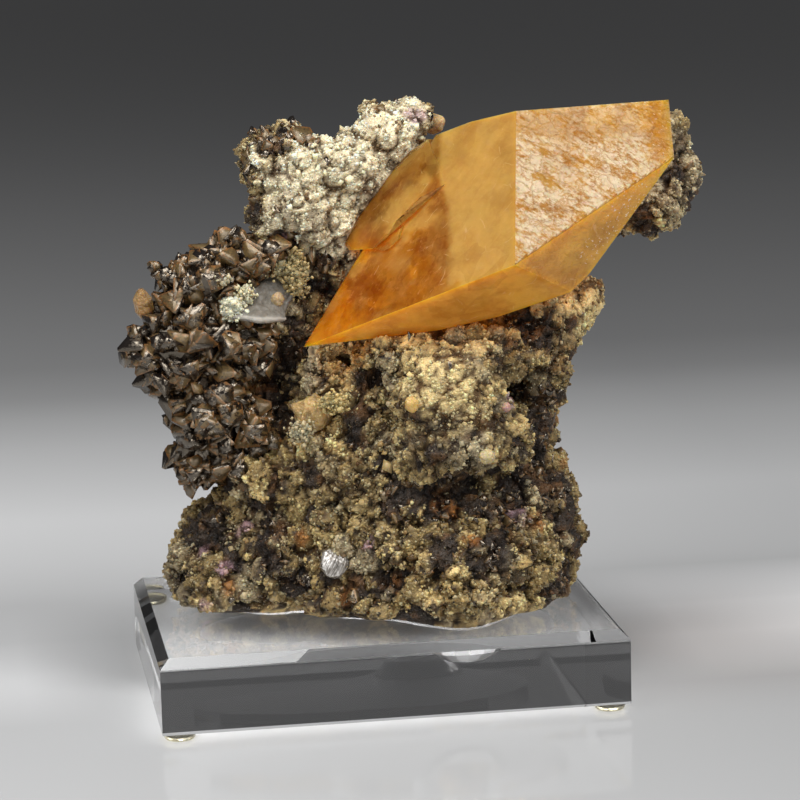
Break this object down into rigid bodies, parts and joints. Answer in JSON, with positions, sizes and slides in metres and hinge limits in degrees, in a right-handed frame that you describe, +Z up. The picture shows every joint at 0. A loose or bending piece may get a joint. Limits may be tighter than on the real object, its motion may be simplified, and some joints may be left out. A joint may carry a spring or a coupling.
{
  "type": "calcite crystal specimen on a clear display block",
  "caption": "Amber calcite crystal lying across drusy rock with a dark crystal cluster, seated in a carved recess of a clear display block on bumper feet.",
  "frame": {"origin": "on the table under the middle of the whole specimen's box", "axes": "+Z up, +X to the right along the display block's long side seen from the front, +Y towards the back"},
  "size_m": [0.15, 0.0864, 0.1514],
  "materials": {
    "amber_calcite": "translucent, etched on one side",
    "pale_calcite": "translucent, waxy",
    "druse": "drusy, sparkling grains",
    "sphalerite": "submetallic lustre",
    "acrylic": "clear, polished",
    "bumper": "clear, slightly yellow"
  },
  "bodies": {
    "root": {"calcite_crystal": "amber_calcite", "small_calcite_left": "pale_calcite", "small_calcite_top": "pale_calcite", "small_calcite_front": "pale_calcite", "matrix": "druse", "sphalerite_cluster": "sphalerite", "display_block": "acrylic", "foot_front_left": "bumper", "foot_front_right": "bumper", "foot_back_left": "bumper", "foot_back_right": "bumper"}
  },
  "joints": []
}
